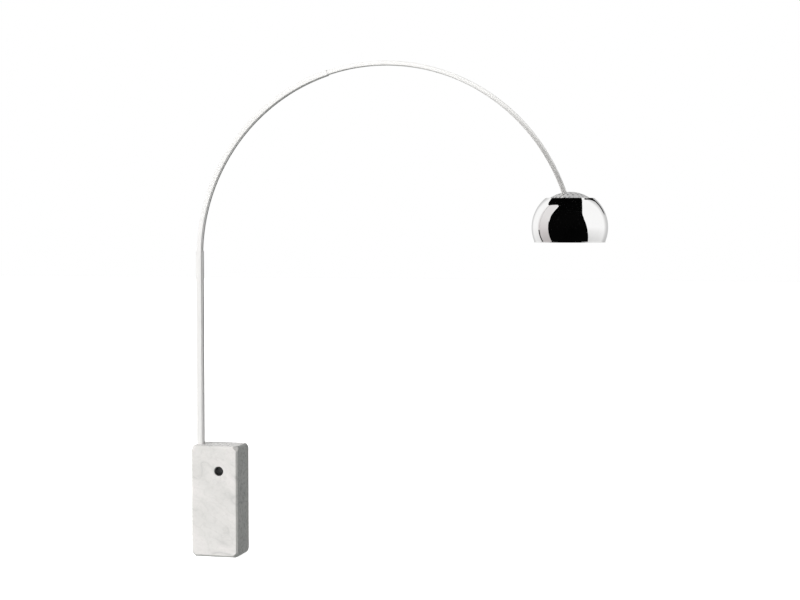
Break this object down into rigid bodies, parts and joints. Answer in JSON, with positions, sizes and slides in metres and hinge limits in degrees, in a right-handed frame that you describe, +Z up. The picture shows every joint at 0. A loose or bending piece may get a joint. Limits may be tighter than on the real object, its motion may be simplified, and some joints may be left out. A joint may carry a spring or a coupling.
{
  "type": "arc floor lamp",
  "caption": "Floor lamp with a marble block, a square steel stem that telescopes into a long arc, and a domed mirror reflector that tilts on a perforated cap.",
  "frame": {"origin": "centre of the marble block's underside, on the felt pad's lower face, where the lamp stands", "axes": "+Z up, +X from the stem along the reach of the arc, +Y to the back of the block, where the cable inlet is"},
  "size_m": [2.042, 0.356, 2.421],
  "materials": {
    "marble": "polished white marble with soft grey veins",
    "felt": "dense dark wool felt",
    "satin_steel": "satin stainless steel, brushed along its length",
    "zinc": "bright zinc-plated steel",
    "mirror_metal": "pressed and polished to a mirror",
    "black_polymer": "moulded black, fine texture",
    "sheath": "smooth black cable sheath",
    "brass": "plain brass",
    "nickel": "nickel-plated",
    "porcelain": "glazed white",
    "bulb_glass": "frosted inside",
    "slip_polymer": "low-friction white polymer",
    "silicone": "black silicone"
  },
  "bodies": {
    "base": {"marble_block": "marble", "felt_pad": "felt", "stem_post": "satin_steel", "stem_foot_block": "zinc", "foot_screw_back": "zinc", "foot_screw_front": "zinc", "anchor_stud": "zinc", "anchor_washer": "zinc", "anchor_nut": "zinc", "stem_lock_boss": "satin_steel", "stem_lock_screw": "zinc", "cable_inlet": "black_polymer", "stem_lead": "sheath", "stem_lead_clip_1": "black_polymer", "stem_lead_clip_2": "black_polymer", "stem_lead_clip_3": "black_polymer"},
    "arc_middle": {"arc_middle_section": "satin_steel", "tail_glide": "black_polymer", "arc_lock_boss": "satin_steel", "arc_lock_screw": "zinc", "middle_lead": "sheath", "middle_lead_clip": "black_polymer"},
    "arc_end": {"arc_end_section": "satin_steel", "end_glide": "black_polymer", "end_plug": "zinc", "end_plug_screw": "zinc", "end_lead_clip_1": "black_polymer", "end_lead_clip_2": "black_polymer", "end_lead_clip_3": "black_polymer", "lamp_stalk": "zinc", "cap_saddle": "zinc", "cap_nut": "zinc", "end_lead": "sheath", "cover_locknut": "zinc", "stalk_nut": "zinc", "holder_cover": "black_polymer", "holder_insulator": "porcelain", "centre_contact": "brass", "thread_sleeve": "brass", "holder_skirt": "black_polymer", "holder_ring": "black_polymer", "bulb_screw_shell": "nickel", "bulb_contact": "brass", "bulb_glass": "bulb_glass", "perforated_cap": "mirror_metal"},
    "tilt_ring": {"slip_ring": "slip_polymer"},
    "reflector": {"seat_ring": "silicone", "reflector_bowl": "mirror_metal"}
  },
  "joints": [
    {"name": "height_slide", "type": "slide", "parent": "base", "child": "arc_middle", "axis": [0, 0, 1], "range_m": [0, 0.1]},
    {"name": "arc_extend", "type": "hinge", "parent": "arc_middle", "child": "arc_end", "pos_m": [0.838, -0.02, 1.478], "axis": [0, 1, 0], "range_deg": [-12, 6]},
    {"name": "reflector_roll", "type": "hinge", "parent": "arc_end", "child": "tilt_ring", "pos_m": [1.74404, -0.02, 1.6254], "axis": [1, 0, 0], "range_deg": [-12, 12]},
    {"name": "reflector_nod", "type": "hinge", "parent": "tilt_ring", "child": "reflector", "pos_m": [1.74404, -0.02, 1.6254], "axis": [0, 1, 0], "range_deg": [-15, 12]}
  ]
}
